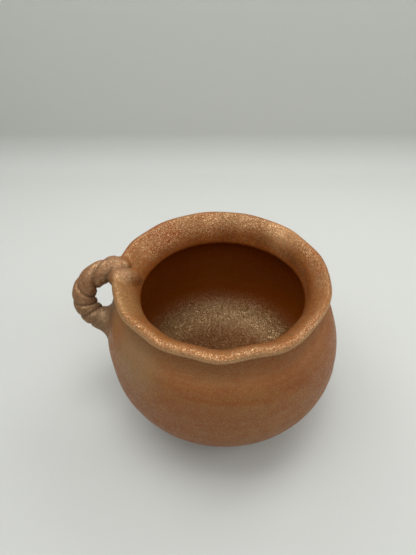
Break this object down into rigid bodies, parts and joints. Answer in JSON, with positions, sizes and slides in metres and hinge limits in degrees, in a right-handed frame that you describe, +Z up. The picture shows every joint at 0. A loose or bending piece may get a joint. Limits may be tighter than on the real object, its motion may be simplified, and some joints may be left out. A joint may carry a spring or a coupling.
{
  "type": "bean pot",
  "caption": "Round-bellied hand-coiled clay bean pot with a fluted, flared rim and one small ear handle of twisted clay rolls.",
  "frame": {"origin": "middle of the flat foot, on the surface that the pot stands on", "axes": "+Z up through the mouth along the pot's axis; the ear handle is on the -X side"},
  "size_m": [0.192, 0.17, 0.1283],
  "materials": {
    "fired_clay": "unglazed micaceous earthenware, hand burnished, with a soft sheen and fine mica flecks",
    "smoked_clay": "the same clay, lightly smoked by the fire and less burnished"
  },
  "bodies": {
    "root": {"base_pad": "fired_clay", "wall_coil_1": "fired_clay", "wall_coil_2": "fired_clay", "wall_coil_3": "fired_clay", "wall_coil_4": "fired_clay", "wall_coil_5": "fired_clay", "wall_coil_6": "fired_clay", "rim_coil": "fired_clay", "handle_roll_1": "smoked_clay", "handle_roll_2": "smoked_clay", "handle_upper_weld": "smoked_clay", "handle_lower_weld": "smoked_clay"}
  },
  "joints": []
}
